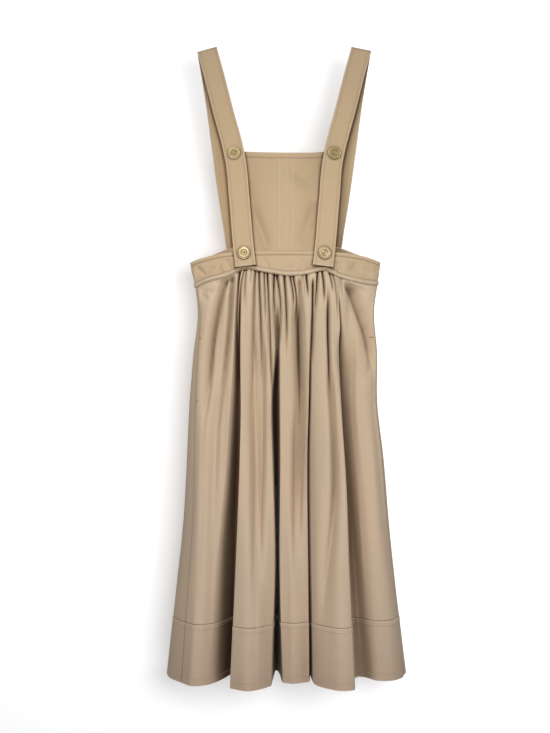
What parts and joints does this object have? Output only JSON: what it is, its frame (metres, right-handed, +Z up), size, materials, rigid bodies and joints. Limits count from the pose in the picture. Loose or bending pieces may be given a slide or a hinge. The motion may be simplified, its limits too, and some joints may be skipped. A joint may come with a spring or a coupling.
{
  "type": "pinafore dress",
  "caption": "Pinafore dress: gathered midi skirt on a shaped waistband, split bib, buttoned shoulder straps and a deep hem band, hanging hollow as worn.",
  "frame": {"origin": "on the shoulder line, just under the inside of both straps' folds and midway between them, where the wearer's shoulders hold the dress up", "axes": "+Z up, -Y to the garment's front, +X to the right as seen from the front"},
  "size_m": [0.4596, 0.2183, 1.2073],
  "materials": {
    "cloth": "tan cotton twill with a soft sheen",
    "button": "pale brushed brass",
    "thread": "tan sewing thread"
  },
  "bodies": {
    "root": {"skirt_front": "cloth", "skirt_back": "cloth", "hem_band_front": "cloth", "hem_band_back": "cloth", "waistband_front": "cloth", "waistband_back": "cloth", "bib_left": "cloth", "bib_right": "cloth", "strap_left": "cloth", "strap_right": "cloth", "button_upper_left": "button", "button_upper_right": "button", "button_lower_left": "button", "button_lower_right": "button"}
  },
  "joints": []
}
